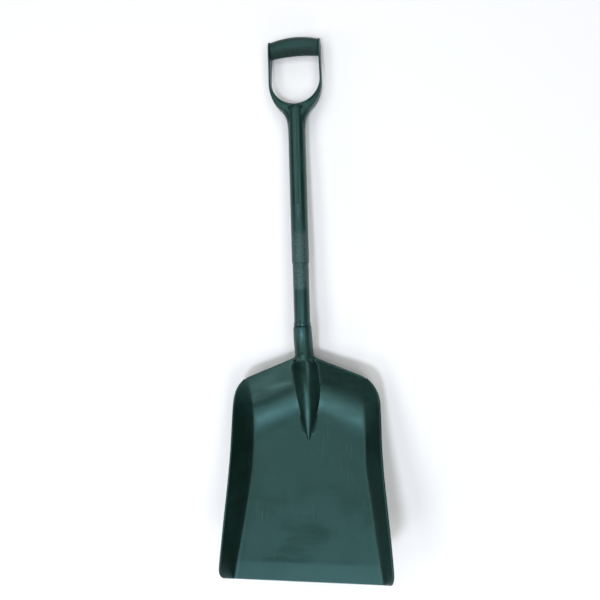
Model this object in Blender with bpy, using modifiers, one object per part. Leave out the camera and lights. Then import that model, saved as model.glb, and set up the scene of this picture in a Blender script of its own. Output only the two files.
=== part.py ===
"""Grain scoop shovel in polypropylene, lying face up at rest on its heel and its grip.

Two local frames are used. The pan frame has X across the blade, Y from the front lip towards the
handle and Z up from the pan's upper face. The shaft frame has its origin on the shaft's axis at the
top of the neck collar, Z along the shaft towards the grip, X across and Y towards the back.
Everything hangs on one empty, which lay_on_floor() turns and places, so that the shovel rests on
Z = 0 with the middle of its bounding box over the world's origin. Metres and radians.
"""

import math

import bmesh
import bpy
import numpy as np
from mathutils import Matrix, Vector

# The blade's outline: the inner edge of its rim, seen from above.
WAIST_HALF_WIDTH = 0.158
FRONT_FLARE = 0.0163
FLARE_LENGTH = 0.29
APEX_Y = 0.4633
ROOF_ANGLE = math.radians(22.2)
CORNER_RADIUS = 0.0625
CORNER_X = WAIST_HALF_WIDTH - CORNER_RADIUS
CORNER_Y = APEX_Y - CORNER_X * math.tan(ROOF_ANGLE) - CORNER_RADIUS / math.cos(ROOF_ANGLE)

# The walls, and the crease along which they meet the pan.
FRONT_WALL_HEIGHT = 0.050
BACK_WALL_HEIGHT = 0.067
WALL_RISE_LENGTH = 0.30
FRONT_CORNER_RADIUS = 0.018
WALL_RAKE = 0.19
WALL_RAKE_LENGTH = 0.060
PAN_BACK_HALF_WIDTH = 0.1285
PAN_FRONT_FLARE = 0.0315
PAN_TAPER_LENGTH = 0.235
PAN_TAPER_POWER = 1.25
CREASE_FOOT = 0.004
CREASE_RISE = 0.024
MOST_CREASE_SHARE = 0.6

# The sheet: its thickness, the bevelled lip, and the sweep from the flat pan up to the back rim.
SHEET_THICKNESS = 0.0034
RIM_THICKNESS = 0.0044
LIP_BEVEL_LENGTH = 0.036
LIP_BEVEL_DROP = 0.0018
SWEEP_START = 0.3335
SWEEP_RADIUS = 0.115
BACK_SLOPE = math.radians(54.5)

# The ridge that carries the neck's load into the pan, hollow from below, with ribs in the hollow.
RIDGE_TIP_Y = 0.284
RIDGE_FULL_Y = 0.420
RIDGE_HALF_WIDTH = 0.029
RIDGE_STEEPNESS = 1.35
RIDGE_ROUNDNESS = 1.3
RIDGE_TIP_POWER = 0.9
LEAST_RIDGE_SHARE = 0.2
RIDGE_WALL = 0.0045
RIM_FLANGE = 0.004
RIDGE_FADE = 0.010
GROOVE_END_Y = 0.452
GROOVE_FADE = 0.026
SPINE_RIB_START_Y = 0.322
SPINE_RIB_END_Y = 0.503
RIB_THICKNESS = 0.0034
CROSS_RIB_YS = (0.352, 0.382, 0.412)
CROSS_RIB_CLEARANCE = 0.0004
CROSS_RIB_ROOT_SHARE = 0.8

# The shaft's axis in the pan frame, and the neck that bends from it down into the ridge.
SHAFT_ORIGIN = Vector((0.0, 0.5253, 0.128))
SHAFT_RISE = math.radians(17.3)
NECK_RADIUS = 0.0193
NECK_SWELL = 0.0012
NECK_FOOT_RADIUS = 0.0165
NECK_FOOT = Vector((0.0, 0.425, 0.050))
NECK_FOOT_SLOPE = math.radians(42.0)
NECK_TOP = -0.009
NECK_REACH = 0.036
NECK_OPEN_Y = 0.452
NECK_ROUND_Y = 0.486
NECK_LEAST_UNDER = 0.12
NECK_NARROWING_START = 0.6
NECK_STEPS = 14

# Lengths along the shaft frame's Z, and radii, of the round pieces.
COLLAR_RADIUS = 0.0183
COLLAR_ROUNDING = 0.0008
SPIGOT_RADIUS = 0.0123
SPIGOT_ROOT = 0.004
SPIGOT_END = 0.110
SPIGOT_CORE_RADIUS = 0.0080
SPIGOT_CORE_START = -0.030
TUBE_RADIUS = 0.0172
TUBE_BORE_RADIUS = 0.0126
TUBE_NECK_RADIUS = 0.0150
TUBE_END = 0.262
SLEEVE_START = 0.1265
SLEEVE_RADIUS = 0.0184
SLEEVE_BORE_RADIUS = 0.0153
SLEEVE_CORE_RADIUS = 0.0135
SLEEVE_CORE_END = 0.418
SLEEVE_SHOULDER_ROOM = 0.001
SLEEVE_SHOULDER_LENGTH = 0.005
SLEEVE_CORE_TIP_LENGTH = 0.008
SLEEVE_CORE_TIP_SHARE = 0.4
PLUG_LENGTH = 0.026
PLUG_HEAD = 0.0025
PLUG_LEAD_LENGTH = 0.002
PLUG_LEAD_DEPTH = 0.001
PLUG_HEAD_INSET = 0.0002

# The sleeve's flare towards the crotch: height, half width and half depth of each section.
SLEEVE_FLARE = (
    (0.400, 0.0184, 0.0184),
    (0.4135, 0.0187, 0.0184),
    (0.4265, 0.0197, 0.0183),
    (0.4380, 0.0224, 0.0181),
    (0.4470, 0.0270, 0.0178),
    (0.4530, 0.0310, 0.0172),
)

# The D-handle. Its crotch lies between two half ellipses, and the arms rise from their ends.
YOKE_OUTER_HALF_WIDTH = 0.0573
YOKE_OUTER_CENTRE = 0.514
YOKE_OUTER_DEPTH = 0.0716
YOKE_INNER_HALF_WIDTH = 0.0527
YOKE_INNER_CENTRE = 0.519
YOKE_INNER_DEPTH = 0.0515
ARM_HALF_BREADTH = 0.0115
CROTCH_HALF_BREADTH = 0.0177
EYE_STEPS = 5
ARM_STEPS = 5
CROTCH_STEPS = 8
BOW_SIDES = 20
EYE_START_ANGLE = math.radians(83.0)
EYE_SQUARENESS = 0.6
ARM_SQUARENESS = 0.45
CROTCH_SQUARENESS = 0.2
ARM_LEAN = 0.0014
GRIP_HEIGHT = 0.5857
GRIP_ARCH = 0.0055
GRIP_HALF_HEIGHT = 0.0190
GRIP_HALF_BREADTH = 0.0170
GRIP_END_SHARE = 0.91
GRIP_STEPS = 14
GRIP_SIDES = 28
EYE_HALF_HEIGHT = 0.0180
EYE_HALF_BREADTH = 0.0180

# Fasteners: countersunk screws with a hexagon recess.
SCREW_HEAD_RADIUS = 0.0040
SCREW_HEAD_HEIGHT = 0.0021
SCREW_SHANK_RADIUS = 0.0020
SCREW_RECESS_RADIUS = 0.0015
SCREW_RECESS_DEPTH = 0.0012
SCREW_SINK = 0.0006
SCREW_POINT_SHARE = 0.4
SCREW_SIDES = 24
SCREW_HOLE_HEADROOM = 0.004
TUBE_SCREW_HEIGHT = 0.062
SLEEVE_SCREW_HEIGHT = 0.248
WALL_SCREW_LENGTH = 0.0100
SLEEVE_SCREW_LENGTH = 0.0120
GRIP_SCREW_LENGTH = 0.0180

GAP = 0.0003
CUTTER_OVERRUN = 0.010
ROUND_SIDES = 32
MOST_TILT = math.radians(40.0)
TILT_STEPS = 40

GREEN = (0.021, 0.062, 0.054, 1.0)
GREEN_GRIP = (0.019, 0.052, 0.047, 1.0)
STEEL = (0.45, 0.45, 0.44, 1.0)


def clear_scene():
    for obj in list(bpy.data.objects):
        bpy.data.objects.remove(obj, do_unlink=True)


def new_collection(name):
    collection = bpy.data.collections.new(name)
    bpy.context.scene.collection.children.link(collection)
    return collection


def new_material(name, colour, roughness, metallic=0.0):
    material = bpy.data.materials.new(name)
    material.use_nodes = True
    shader = material.node_tree.nodes["Principled BSDF"]
    shader.inputs["Base Color"].default_value = colour
    shader.inputs["Roughness"].default_value = roughness
    shader.inputs["Metallic"].default_value = metallic
    material.diffuse_color = colour
    return material


def new_empty(name, collection, parent=None):
    empty = bpy.data.objects.new(name, None)
    collection.objects.link(empty)
    empty.parent = parent
    return empty


def finish_mesh(name, bm, collection, parent, material=None):
    """Turns a bmesh into an object with its faces outwards and its edges sharp over 35 degrees."""
    bmesh.ops.recalc_face_normals(bm, faces=bm.faces)
    mesh = bpy.data.meshes.new(name)
    bm.to_mesh(mesh)
    bm.free()
    mesh.shade_smooth()
    mesh.set_sharp_from_angle(angle=math.radians(35.0))
    if material:
        mesh.materials.append(material)
    obj = bpy.data.objects.new(name, mesh)
    collection.objects.link(obj)
    obj.parent = parent
    return obj


def add_helper(name, bm, parent):
    """A solid that is only joined to a part or cut from one."""
    helper = finish_mesh(name, bm, bpy.data.collections["cutters"], parent)
    helper.hide_render = True
    helper.display_type = "WIRE"
    return helper


def combine(obj, operation, helper):
    boolean = obj.modifiers.new(helper.name, "BOOLEAN")
    boolean.operation = operation
    boolean.object = helper


def smoothstep(value):
    value = min(max(value, 0.0), 1.0)
    return value * value * (3.0 - 2.0 * value)


def bezier(points, along):
    """The point at 0..1 of the Bezier curve with these control points."""
    while len(points) > 1:
        points = [a.lerp(b, along) for a, b in zip(points, points[1:])]
    return points[0]


def oval(centre, wide, deep, squareness=0.0, sides=ROUND_SIDES):
    """A ring round centre with the half axes wide and deep, an ellipse when squareness is 0."""
    power = 1.0 - squareness
    ring = []
    for i in range(sides):
        angle = 2.0 * math.pi * i / sides
        cosine, sine = math.cos(angle), math.sin(angle)
        across = math.copysign(abs(cosine) ** power, cosine)
        down = math.copysign(abs(sine) ** power, sine)
        ring.append(centre + across * wide + down * deep)
    return ring


def circle(height, radius, sides=ROUND_SIDES):
    return oval(Vector((0, 0, height)), Vector((radius, 0, 0)), Vector((0, radius, 0)), sides=sides)


def loft(rings):
    """A closed solid through rings of points, with a flat cap at each end."""
    bm = bmesh.new()
    loops = [[bm.verts.new(point) for point in ring] for ring in rings]
    for near, far in zip(loops, loops[1:]):
        for i in range(len(near)):
            j = (i + 1) % len(near)
            bm.faces.new((near[i], near[j], far[j], far[i]))
    bm.faces.new(loops[0])
    bm.faces.new(loops[-1])
    return bm


def plate(outline, thickness):
    """A flat plate on an outline of points, thickened both ways along the outline's normal."""
    bm = bmesh.new()
    face = bm.faces.new([bm.verts.new(point) for point in outline])
    face.normal_update()
    normal = face.normal.copy()
    bmesh.ops.translate(bm, verts=bm.verts, vec=-0.5 * thickness * normal)
    made = bmesh.ops.extrude_face_region(bm, geom=[face], use_keep_orig=True)
    moved = [item for item in made["geom"] if isinstance(item, bmesh.types.BMVert)]
    bmesh.ops.translate(bm, verts=moved, vec=thickness * normal)
    return bm


def turned(name, profile, collection, parent, material=None):
    """A ring-shaped piece turned about the shaft's axis, from (radius, height) points."""
    mesh = bpy.data.meshes.new(name)
    edges = [(i, (i + 1) % len(profile)) for i in range(len(profile))]
    mesh.from_pydata([(radius, 0.0, height) for radius, height in profile], edges, [])
    obj = bpy.data.objects.new(name, mesh)
    collection.objects.link(obj)
    obj.parent = parent
    screw = obj.modifiers.new("turn", "SCREW")
    screw.axis = "Z"
    screw.steps = ROUND_SIDES
    screw.render_steps = ROUND_SIDES
    screw.use_merge_vertices = True
    screw.merge_threshold = 0.00001
    if material:
        mesh.materials.append(material)
    return obj


# ---------------------------------------------------------------------------------------------
# The blade's surfaces, in the pan frame
# ---------------------------------------------------------------------------------------------


def rim_half_width(y):
    if y > CORNER_Y:
        return CORNER_X + math.sqrt(max(CORNER_RADIUS**2 - (y - CORNER_Y) ** 2, 0.0))
    return WAIST_HALF_WIDTH + FRONT_FLARE * smoothstep(1.0 - y / FLARE_LENGTH)


def roof_drop(x):
    """How far the back rim lies in front of its apex: a straight run, then the corner's arc."""
    across = abs(x)
    if across <= CORNER_X + CORNER_RADIUS * math.sin(ROOF_ANGLE):
        return across * math.tan(ROOF_ANGLE)
    within = min(across - CORNER_X, CORNER_RADIUS)
    return APEX_Y - CORNER_Y - math.sqrt(CORNER_RADIUS**2 - within**2)


def crease_half_width(y):
    taper = max(1.0 - y / PAN_TAPER_LENGTH, 0.0)
    return PAN_BACK_HALF_WIDTH + PAN_FRONT_FLARE * taper**PAN_TAPER_POWER


def floor_height(x, y):
    """The pan and the back: flat, then an arc, then straight up to the rim."""
    run = (y + roof_drop(x) - SWEEP_START) * math.cos(ROOF_ANGLE)
    arc = SWEEP_RADIUS * math.sin(BACK_SLOPE)
    if run <= 0.0:
        return -LIP_BEVEL_DROP * max(1.0 - y / LIP_BEVEL_LENGTH, 0.0)
    if run < arc:
        return SWEEP_RADIUS - math.sqrt(SWEEP_RADIUS**2 - run**2)
    return SWEEP_RADIUS * (1.0 - math.cos(BACK_SLOPE)) + (run - arc) * math.tan(BACK_SLOPE)


def rim_height(y):
    back_rim = floor_height(0.0, APEX_Y)
    corner_end = APEX_Y - roof_drop(PAN_BACK_HALF_WIDTH)
    side = smoothstep(y / WALL_RISE_LENGTH)
    height = FRONT_WALL_HEIGHT + (BACK_WALL_HEIGHT - FRONT_WALL_HEIGHT) * side
    height += (back_rim - height) * smoothstep((y - CORNER_Y) / (corner_end - CORNER_Y))
    if y < FRONT_CORNER_RADIUS:
        ahead = FRONT_CORNER_RADIUS - y
        height -= FRONT_CORNER_RADIUS - math.sqrt(FRONT_CORNER_RADIUS**2 - ahead**2)
    return height


def ridge_half_width(y):
    along = (y - RIDGE_TIP_Y) / (RIDGE_FULL_Y - RIDGE_TIP_Y)
    along = min(max(along, 0.0), 1.0)
    return RIDGE_HALF_WIDTH * math.sin(0.5 * math.pi * along) ** RIDGE_TIP_POWER


def ridge_rise(x, y, inset=0.0):
    """How high the ridge stands above the floor, or with an inset the hollow under it."""
    half = ridge_half_width(y) - inset
    if abs(x) >= half:
        return 0.0
    from_flange = APEX_Y - roof_drop(x) - RIM_FLANGE - y
    height = RIDGE_STEEPNESS * half * smoothstep(from_flange / RIDGE_FADE)
    return height * (1.0 - (x / half) ** 2) ** RIDGE_ROUNDNESS


def groove_rise(x, y):
    return ridge_rise(x, y, RIDGE_WALL) * smoothstep((GROOVE_END_Y - y) / GROOVE_FADE)


def sheet_point(column, row):
    """The blade's upper face without the ridge.

    column runs from 0 at the middle, over 1 at the ridge's foot, 2 where the pan starts to turn up
    and 3 where the wall starts, to 4 at the rim, and is negative on the left. row is the place of
    the point's row at the middle: the rows bend forward at the sides, along with the back rim.
    """
    sweep = smoothstep((row - 0.5 * SWEEP_START) / (0.5 * SWEEP_START))
    crease_x = PAN_BACK_HALF_WIDTH
    for _ in range(6):
        crease_y = row - sweep * roof_drop(crease_x)
        crease_x = crease_half_width(crease_y)
    crease = Vector((crease_x, crease_y, floor_height(crease_x, crease_y)))
    rim = Vector((rim_half_width(crease_y), crease_y, rim_height(crease_y)))
    if crease_y < FRONT_CORNER_RADIUS:
        full = rim_height(FRONT_CORNER_RADIUS)
        rim.x = crease_x + (rim.x - crease_x) * rim.z / full
    reach = MOST_CREASE_SHARE * (rim - crease).length
    foot_x = crease_x - min(CREASE_FOOT, reach)
    side = math.copysign(1.0, column)
    across = abs(column)
    if across <= 2.0:
        ridge = ridge_half_width(row - sweep * roof_drop(RIDGE_HALF_WIDTH))
        ridge = max(ridge, LEAST_RIDGE_SHARE * RIDGE_HALF_WIDTH)
        x = ridge * min(across, 1.0) + (foot_x - ridge) * max(across - 1.0, 0.0)
        y = row - sweep * roof_drop(x)
        return Vector((side * x, y, floor_height(x, y)))
    foot_y = row - sweep * roof_drop(foot_x)
    foot = Vector((foot_x, foot_y, floor_height(foot_x, foot_y)))
    wall = crease + (rim - crease).normalized() * min(CREASE_RISE, reach)
    if across <= 3.0:
        point = bezier([foot, crease, wall], across - 2.0)
    else:
        point = wall.lerp(rim, across - 3.0)
    rake = WALL_RAKE * point.z * max(1.0 - point.y / WALL_RAKE_LENGTH, 0.0)
    return Vector((side * point.x, point.y + rake, point.z))


def spaced(*runs):
    """Numbers along runs of (start, end, steps), each run without its end but the last."""
    values = []
    for start, end, steps in runs:
        values += [start + (end - start) * i / steps for i in range(steps)]
    return values + [runs[-1][1]]


def make_blade_sheet():
    """The pan, back and walls as one bent sheet, with the ridge pushed up from below."""
    half = spaced((0, 1, 5), (1, 2, 5), (2, 3, 2), (3, 4, 2))
    columns = [-column for column in reversed(half[1:])] + half
    ridge_end = APEX_Y - RIM_FLANGE - RIDGE_FADE
    rows = spaced(
        (0.0, FRONT_CORNER_RADIUS, 3),
        (FRONT_CORNER_RADIUS, LIP_BEVEL_LENGTH, 1),
        (LIP_BEVEL_LENGTH, RIDGE_TIP_Y, 7),
        (RIDGE_TIP_Y, SWEEP_START, 3),
        (SWEEP_START, ridge_end, 11),
        (ridge_end, APEX_Y - RIM_FLANGE, 3),
        (APEX_Y - RIM_FLANGE, APEX_Y, 1),
    )
    bm = bmesh.new()
    last_column, last_row = len(columns) - 1, len(rows) - 1
    bmesh.ops.create_grid(bm, x_segments=last_column, y_segments=last_row, size=0.5)
    thickness = {}
    for vert in bm.verts:
        i = round((vert.co.x + 0.5) * last_column)
        j = round((vert.co.y + 0.5) * last_row)
        vert.co = sheet_point(columns[i], rows[j])
        at_rim = i in (0, last_column) or j == last_row
        thickness[vert.index] = RIM_THICKNESS if at_rim else SHEET_THICKNESS
    bm.normal_update()
    lowered = [v.co - v.normal * thickness[v.index] for v in bm.verts]
    upper = list(bm.verts)
    index_of = {tuple(v.co): v.index for v in upper}
    made = bmesh.ops.extrude_face_region(bm, geom=bm.faces[:], use_keep_orig=True)
    for item in made["geom"]:
        if isinstance(item, bmesh.types.BMVert):
            item.co = lowered[index_of[tuple(item.co)]]
            item.co.z = max(item.co.z, -SHEET_THICKNESS) + groove_rise(item.co.x, item.co.y)
    for vert in upper:
        vert.co.z += ridge_rise(vert.co.x, vert.co.y)
    bmesh.ops.remove_doubles(bm, verts=bm.verts, dist=0.00002)
    bmesh.ops.dissolve_degenerate(bm, edges=bm.edges, dist=0.00002)
    return bm


def make_neck():
    """The neck's outside, from its shoulder on the shaft's axis down into the ridge."""
    shaft_way = Vector((0.0, math.cos(SHAFT_RISE), math.sin(SHAFT_RISE)))
    foot_way = Vector((0.0, math.cos(NECK_FOOT_SLOPE), math.sin(NECK_FOOT_SLOPE)))
    top = SHAFT_ORIGIN + NECK_TOP * shaft_way
    path = [top, top - NECK_REACH * shaft_way, NECK_FOOT + NECK_REACH * foot_way, NECK_FOOT]
    rings = []
    for i in range(NECK_STEPS + 1):
        along = i / NECK_STEPS
        ahead = bezier(path, min(along + 0.01, 1.0)) - bezier(path, max(along - 0.01, 0.0))
        up = Vector((0.0, ahead.z, -ahead.y)).normalized()
        centre = bezier(path, along)
        radius = NECK_RADIUS + NECK_SWELL * math.sin(math.pi * along)
        narrowing = smoothstep((along - NECK_NARROWING_START) / (1.0 - NECK_NARROWING_START))
        radius += (NECK_FOOT_RADIUS - NECK_RADIUS) * narrowing
        under = smoothstep((centre.y - NECK_OPEN_Y) / (NECK_ROUND_Y - NECK_OPEN_Y))
        ring = oval(centre, Vector((radius, 0, 0)), radius * up)
        for point in ring:
            below = min((point - centre).dot(up), 0.0)
            point -= (1.0 - max(under, NECK_LEAST_UNDER)) * below * up
        rings.append(ring)
    return loft(rings)


def make_spine_rib():
    """The rib along the middle of the hollow ridge, and on to the underside of the neck."""
    lower, upper = [], []
    for y in spaced((SPINE_RIB_START_Y, APEX_Y, 9)):
        floor = floor_height(0.0, y)
        lower.append(Vector((0.0, y, floor - SHEET_THICKNESS)))
        upper.append(Vector((0.0, y, floor + ridge_rise(0.0, y) - 0.5 * RIDGE_WALL)))
    along_shaft = (SPINE_RIB_END_Y - SHAFT_ORIGIN.y) * math.tan(SHAFT_RISE)
    axis_z = SHAFT_ORIGIN.z + along_shaft
    lower.append(Vector((0.0, SPINE_RIB_END_Y, axis_z - NECK_RADIUS)))
    upper.append(Vector((0.0, SPINE_RIB_END_Y, axis_z)))
    return plate(lower + upper[::-1], RIB_THICKNESS)


def make_cross_rib(y):
    """A rib across the hollow ridge, cut to the ridge's shape."""
    half = ridge_half_width(y) - 0.5 * RIDGE_WALL
    arch, base = [], []
    for x in spaced((-half, half, 8)):
        floor = floor_height(x, y)
        rise = ridge_rise(x, y, 0.5 * RIDGE_WALL) - CROSS_RIB_CLEARANCE
        arch.append(Vector((x, y, floor + rise)))
        base.append(Vector((x, y, floor - CROSS_RIB_ROOT_SHARE * SHEET_THICKNESS)))
    return plate(arch + base[::-1], RIB_THICKNESS)


def make_screw(length, grow=0.0, above=0.0):
    """A countersunk screw along -Z with its head's face at 0, or the hole for it if grow is set."""
    head = SCREW_HEAD_RADIUS + grow
    shank = SCREW_SHANK_RADIUS + grow
    rings = [
        circle(-length - grow, SCREW_POINT_SHARE * shank, SCREW_SIDES),
        circle(-length + shank, shank, SCREW_SIDES),
        circle(-SCREW_HEAD_HEIGHT - grow, shank, SCREW_SIDES),
        circle(-grow, head, SCREW_SIDES),
        circle(above, head, SCREW_SIDES),
    ]
    if grow == 0.0:
        hexagon = []
        for i in range(SCREW_SIDES):
            angle = 2.0 * math.pi * i / SCREW_SIDES
            reach = SCREW_RECESS_RADIUS / math.cos(angle % (math.pi / 3.0) - math.pi / 6.0)
            hexagon.append(Vector((reach * math.cos(angle), reach * math.sin(angle), 0.0)))
        floor = [point - Vector((0, 0, SCREW_RECESS_DEPTH)) for point in hexagon]
        rings = rings[:-1] + [hexagon, floor]
    return loft(rings)


def screw_places():
    """Where each screw's head sits in the shaft frame, as name, length and matrix."""
    back = Matrix.Rotation(-0.5 * math.pi, 4, "X")
    places = {
        "tube_screw": (
            WALL_SCREW_LENGTH,
            Matrix.Translation((0, TUBE_RADIUS - SCREW_SINK, TUBE_SCREW_HEIGHT)) @ back,
        ),
        "sleeve_screw": (
            SLEEVE_SCREW_LENGTH,
            Matrix.Translation((0, SLEEVE_RADIUS - SCREW_SINK, SLEEVE_SCREW_HEIGHT)) @ back,
        ),
    }
    for name, side in (("grip_screw_left", -1.0), ("grip_screw_right", 1.0)):
        turn = Matrix.Rotation(side * 0.5 * math.pi, 4, "Y")
        face = side * (YOKE_OUTER_HALF_WIDTH - ARM_LEAN - SCREW_SINK)
        places[name] = (GRIP_SCREW_LENGTH, Matrix.Translation((face, 0, GRIP_HEIGHT)) @ turn)
    return places


def make_screws(collection, parent, material):
    """The screws, and for each the hole that its neighbours are cut with."""
    holes = {}
    for name, (length, place) in screw_places().items():
        screw = finish_mesh(name, make_screw(length), collection, parent, material)
        screw.matrix_local = place
        hole_shape = make_screw(length, grow=GAP, above=SCREW_HOLE_HEADROOM)
        hole = add_helper(name + "_hole", hole_shape, parent)
        hole.matrix_local = place
        holes[name] = hole
    return holes


def make_blade(collection, pan, shaft, material, holes):
    blade = finish_mesh("blade", make_blade_sheet(), collection, pan, material)
    joined = [add_helper("neck_shape", make_neck(), pan)]
    joined.append(add_helper("spine_rib_shape", make_spine_rib(), pan))
    for i, y in enumerate(CROSS_RIB_YS):
        joined.append(add_helper(f"cross_rib_shape_{i}", make_cross_rib(y), pan))
    root = circle(NECK_TOP - SPIGOT_ROOT, SPIGOT_RADIUS)
    spigot = loft([root, circle(SPIGOT_END, SPIGOT_RADIUS)])
    joined.append(add_helper("spigot_shape", spigot, shaft))
    for shape in joined:
        combine(blade, "UNION", shape)
    deepest = circle(SPIGOT_CORE_START, SPIGOT_CORE_RADIUS)
    core = loft([deepest, circle(SPIGOT_END + CUTTER_OVERRUN, SPIGOT_CORE_RADIUS)])
    combine(blade, "DIFFERENCE", add_helper("spigot_core", core, shaft))
    combine(blade, "DIFFERENCE", holes["tube_screw"])
    return blade


def make_collar(collection, shaft, material):
    low, high = NECK_TOP + GAP, -GAP
    profile = [
        (COLLAR_RADIUS - COLLAR_ROUNDING, high),
        (COLLAR_RADIUS, high - COLLAR_ROUNDING),
        (COLLAR_RADIUS, low + COLLAR_ROUNDING),
        (COLLAR_RADIUS - COLLAR_ROUNDING, low),
        (TUBE_BORE_RADIUS, low),
        (TUBE_BORE_RADIUS, high),
    ]
    return turned("neck_collar", profile, collection, shaft, material)


def make_tube(collection, shaft, material, holes):
    shoulder = SLEEVE_START - GAP
    profile = [
        (TUBE_NECK_RADIUS, TUBE_END),
        (TUBE_NECK_RADIUS, shoulder),
        (TUBE_RADIUS, shoulder),
        (TUBE_RADIUS, 0.0),
        (TUBE_BORE_RADIUS, 0.0),
        (TUBE_BORE_RADIUS, TUBE_END),
    ]
    tube = turned("shaft_tube", profile, collection, shaft, material)
    combine(tube, "DIFFERENCE", holes["tube_screw"])
    combine(tube, "DIFFERENCE", holes["sleeve_screw"])
    return tube


def make_plug(collection, shaft, material, holes):
    radius = TUBE_BORE_RADIUS - GAP
    head = TUBE_END + GAP
    rings = [
        circle(TUBE_END - PLUG_LENGTH, radius - PLUG_LEAD_DEPTH),
        circle(TUBE_END - PLUG_LENGTH + PLUG_LEAD_LENGTH, radius),
        circle(head, radius),
        circle(head, TUBE_NECK_RADIUS - PLUG_HEAD_INSET),
        circle(head + PLUG_HEAD, TUBE_NECK_RADIUS - PLUG_HEAD_INSET),
    ]
    plug = finish_mesh("tube_plug", loft(rings), collection, shaft, material)
    combine(plug, "DIFFERENCE", holes["sleeve_screw"])
    return plug


def make_sleeve():
    """The sleeve's outside, widening at its top towards the yoke's crotch."""
    rings = [circle(SLEEVE_START, SLEEVE_RADIUS)]
    for height, wide, deep in SLEEVE_FLARE:
        rings.append(oval(Vector((0, 0, height)), Vector((wide, 0, 0)), Vector((0, deep, 0))))
    return loft(rings)


def arm_half_breadth(height):
    """Half the arm's breadth, front to back: narrow above the crotch, then the eye at the grip."""
    crotch = YOKE_OUTER_CENTRE - YOKE_OUTER_DEPTH
    if height < YOKE_INNER_CENTRE:
        fall = smoothstep((height - crotch) / (YOKE_INNER_CENTRE - crotch))
        return CROTCH_HALF_BREADTH + (ARM_HALF_BREADTH - CROTCH_HALF_BREADTH) * fall
    grow = smoothstep((height - YOKE_INNER_CENTRE) / (GRIP_HEIGHT - YOKE_INNER_CENTRE))
    return ARM_HALF_BREADTH + (EYE_HALF_BREADTH - ARM_HALF_BREADTH) * grow


def arm_lean(height):
    """How far the arms lean in towards each other at this height."""
    along = (height - YOKE_INNER_CENTRE) / (GRIP_HEIGHT - YOKE_INNER_CENTRE)
    return ARM_LEAN * min(max(along, 0.0), 1.0)


def arm_station(height, half_breadth, squareness):
    """A section of a straight arm: its inner and outer edges, its breadth and its squareness."""
    lean = arm_lean(height)
    inner = (YOKE_INNER_HALF_WIDTH - lean, height)
    outer = (YOKE_OUTER_HALF_WIDTH - lean, height)
    return inner, outer, half_breadth, squareness


def crotch_station(angle):
    """A section of the crotch, with the angle 0 at the bottom and a quarter turn at the arm."""
    across, down = math.sin(angle), math.cos(angle)
    inner = (YOKE_INNER_HALF_WIDTH * across, YOKE_INNER_CENTRE - YOKE_INNER_DEPTH * down)
    outer = (YOKE_OUTER_HALF_WIDTH * across, YOKE_OUTER_CENTRE - YOKE_OUTER_DEPTH * down)
    half_breadth = arm_half_breadth((inner[1] + outer[1]) / 2.0)
    share = angle / (0.5 * math.pi)
    squareness = CROTCH_SQUARENESS + (ARM_SQUARENESS - CROTCH_SQUARENESS) * share
    return inner, outer, half_breadth, squareness


def make_yoke_bow():
    """The crotch and both arms in one sweep, from the right eye round to the left one."""
    right = []
    for i in range(EYE_STEPS):
        angle = EYE_START_ANGLE * (1.0 - i / EYE_STEPS)
        height = GRIP_HEIGHT + EYE_HALF_HEIGHT * math.sin(angle)
        right.append(arm_station(height, EYE_HALF_BREADTH * math.cos(angle), EYE_SQUARENESS))
    for i in range(ARM_STEPS):
        height = GRIP_HEIGHT + (YOKE_INNER_CENTRE - GRIP_HEIGHT) * i / ARM_STEPS
        squareness = EYE_SQUARENESS + (ARM_SQUARENESS - EYE_SQUARENESS) * i / ARM_STEPS
        right.append(arm_station(height, arm_half_breadth(height), squareness))
    for i in range(CROTCH_STEPS):
        right.append(crotch_station(0.5 * math.pi * (1.0 - i / CROTCH_STEPS)))
    bottom = crotch_station(0.0)
    stations = [(1.0, station) for station in right] + [(1.0, bottom)]
    stations += [(-1.0, station) for station in reversed(right)]
    rings = []
    for side, (inner, outer, half_breadth, squareness) in stations:
        near = Vector((side * inner[0], 0.0, inner[1]))
        far = Vector((side * outer[0], 0.0, outer[1]))
        deep = Vector((0, half_breadth, 0))
        rings.append(oval((near + far) / 2.0, (far - near) / 2.0, deep, squareness, BOW_SIDES))
    return loft(rings)


def make_sleeve_bore():
    """The room for the tube and its plug, then a narrower core up towards the crotch."""
    shoulder = TUBE_END + PLUG_HEAD + SLEEVE_SHOULDER_ROOM
    tip = SLEEVE_CORE_END + SLEEVE_CORE_TIP_LENGTH
    rings = [
        circle(SLEEVE_START - CUTTER_OVERRUN, SLEEVE_BORE_RADIUS),
        circle(shoulder, SLEEVE_BORE_RADIUS),
        circle(shoulder + SLEEVE_SHOULDER_LENGTH, SLEEVE_CORE_RADIUS),
        circle(SLEEVE_CORE_END, SLEEVE_CORE_RADIUS),
        circle(tip, SLEEVE_CORE_TIP_SHARE * SLEEVE_CORE_RADIUS),
    ]
    return loft(rings)


def make_yoke(collection, shaft, material, holes):
    yoke = finish_mesh("handle_yoke", make_sleeve(), collection, shaft, material)
    combine(yoke, "UNION", add_helper("yoke_bow_shape", make_yoke_bow(), shaft))
    combine(yoke, "DIFFERENCE", add_helper("sleeve_bore", make_sleeve_bore(), shaft))
    for name in ("sleeve_screw", "grip_screw_left", "grip_screw_right"):
        combine(yoke, "DIFFERENCE", holes[name])
    return yoke


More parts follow.
